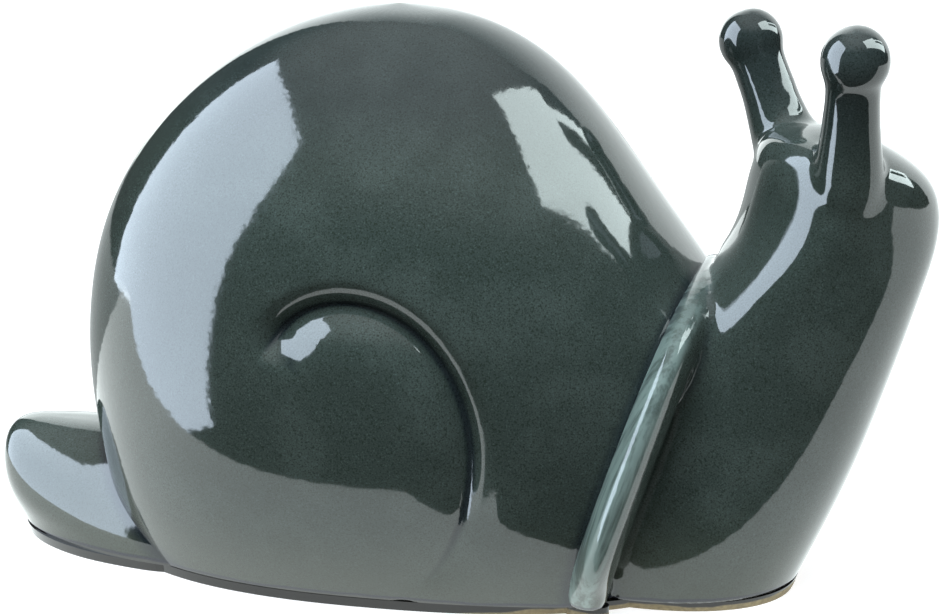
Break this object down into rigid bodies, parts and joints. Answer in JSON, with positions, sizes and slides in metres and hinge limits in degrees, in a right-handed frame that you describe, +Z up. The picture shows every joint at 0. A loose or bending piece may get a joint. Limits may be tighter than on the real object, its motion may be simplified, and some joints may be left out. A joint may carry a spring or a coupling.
{
  "type": "snail figurine",
  "caption": "Free-standing hollow stoneware snail ornament with a coiled shell, a beaded shell mouth and ball-ended eye stalks.",
  "frame": {"origin": "middle of the footprint's bounding box, on the table", "axes": "+X from the tail to the head, +Y to the snail's left, +Z up"},
  "size_m": [0.2267, 0.104, 0.1365],
  "materials": {
    "reactive_glaze": "gloss reactive glaze, dark grey-green",
    "bare_stoneware": "wiped bare foot, buff"
  },
  "bodies": {
    "root": {"shell": "reactive_glaze", "shell_lip": "reactive_glaze", "neck_and_head": "reactive_glaze", "tail": "reactive_glaze", "right_eye_stalk": "reactive_glaze", "left_eye_stalk": "reactive_glaze", "sole": "bare_stoneware"}
  },
  "joints": []
}
